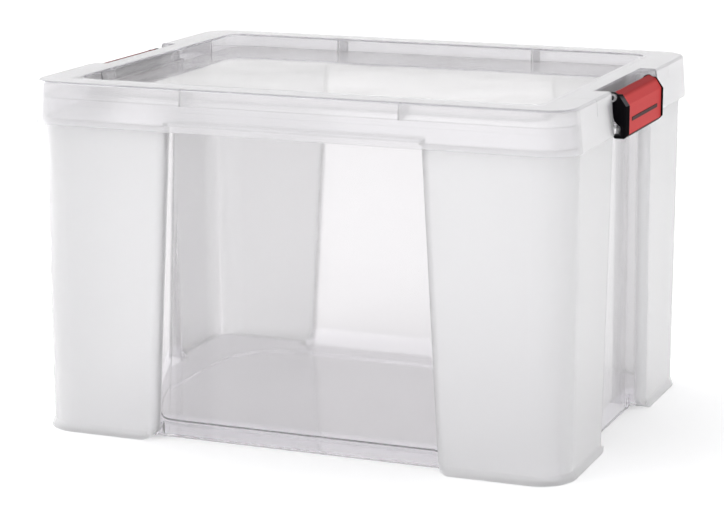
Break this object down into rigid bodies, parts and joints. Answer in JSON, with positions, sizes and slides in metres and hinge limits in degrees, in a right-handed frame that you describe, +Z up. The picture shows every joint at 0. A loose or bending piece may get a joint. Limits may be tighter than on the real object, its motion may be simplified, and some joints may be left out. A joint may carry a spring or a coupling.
{
  "type": "file box",
  "caption": "Translucent storage and file box with set-back wall panels, a lift-off lid with a deep skirt and a raised border, and a hinged two-colour clip at each short end.",
  "frame": {"origin": "middle of the footprint, on the surface that the box stands on", "axes": "+X along the long side towards the right-hand clip, +Y to the back, +Z up"},
  "size_m": [0.5224, 0.39, 0.32],
  "materials": {
    "tub_plastic": "frosted translucent",
    "lid_plastic": "clear to frosted translucent",
    "clip_black": "semi-gloss",
    "clip_red": "satin",
    "clip_bar": "satin"
  },
  "bodies": {
    "tub": {"tub": "tub_plastic"},
    "lid": {"lid": "lid_plastic"},
    "clip_right": {"clip_frame_right": "clip_black", "clip_cover_right": "clip_red", "clip_bar_right": "clip_bar"},
    "clip_left": {"clip_frame_left": "clip_black", "clip_cover_left": "clip_red", "clip_bar_left": "clip_bar"}
  },
  "joints": [
    {"name": "lid_lift", "type": "slide", "parent": "tub", "child": "lid", "axis": [0, 0, 1], "range_m": [0, 0.14]},
    {"name": "clip_right_open", "type": "hinge", "parent": "lid", "child": "clip_right", "pos_m": [0.2468, 0, 0.3126], "axis": [0, -1, 0], "range_deg": [0, 115]},
    {"name": "clip_left_open", "type": "hinge", "parent": "lid", "child": "clip_left", "pos_m": [-0.2468, 0, 0.3126], "axis": [0, 1, 0], "range_deg": [0, 115]}
  ]
}
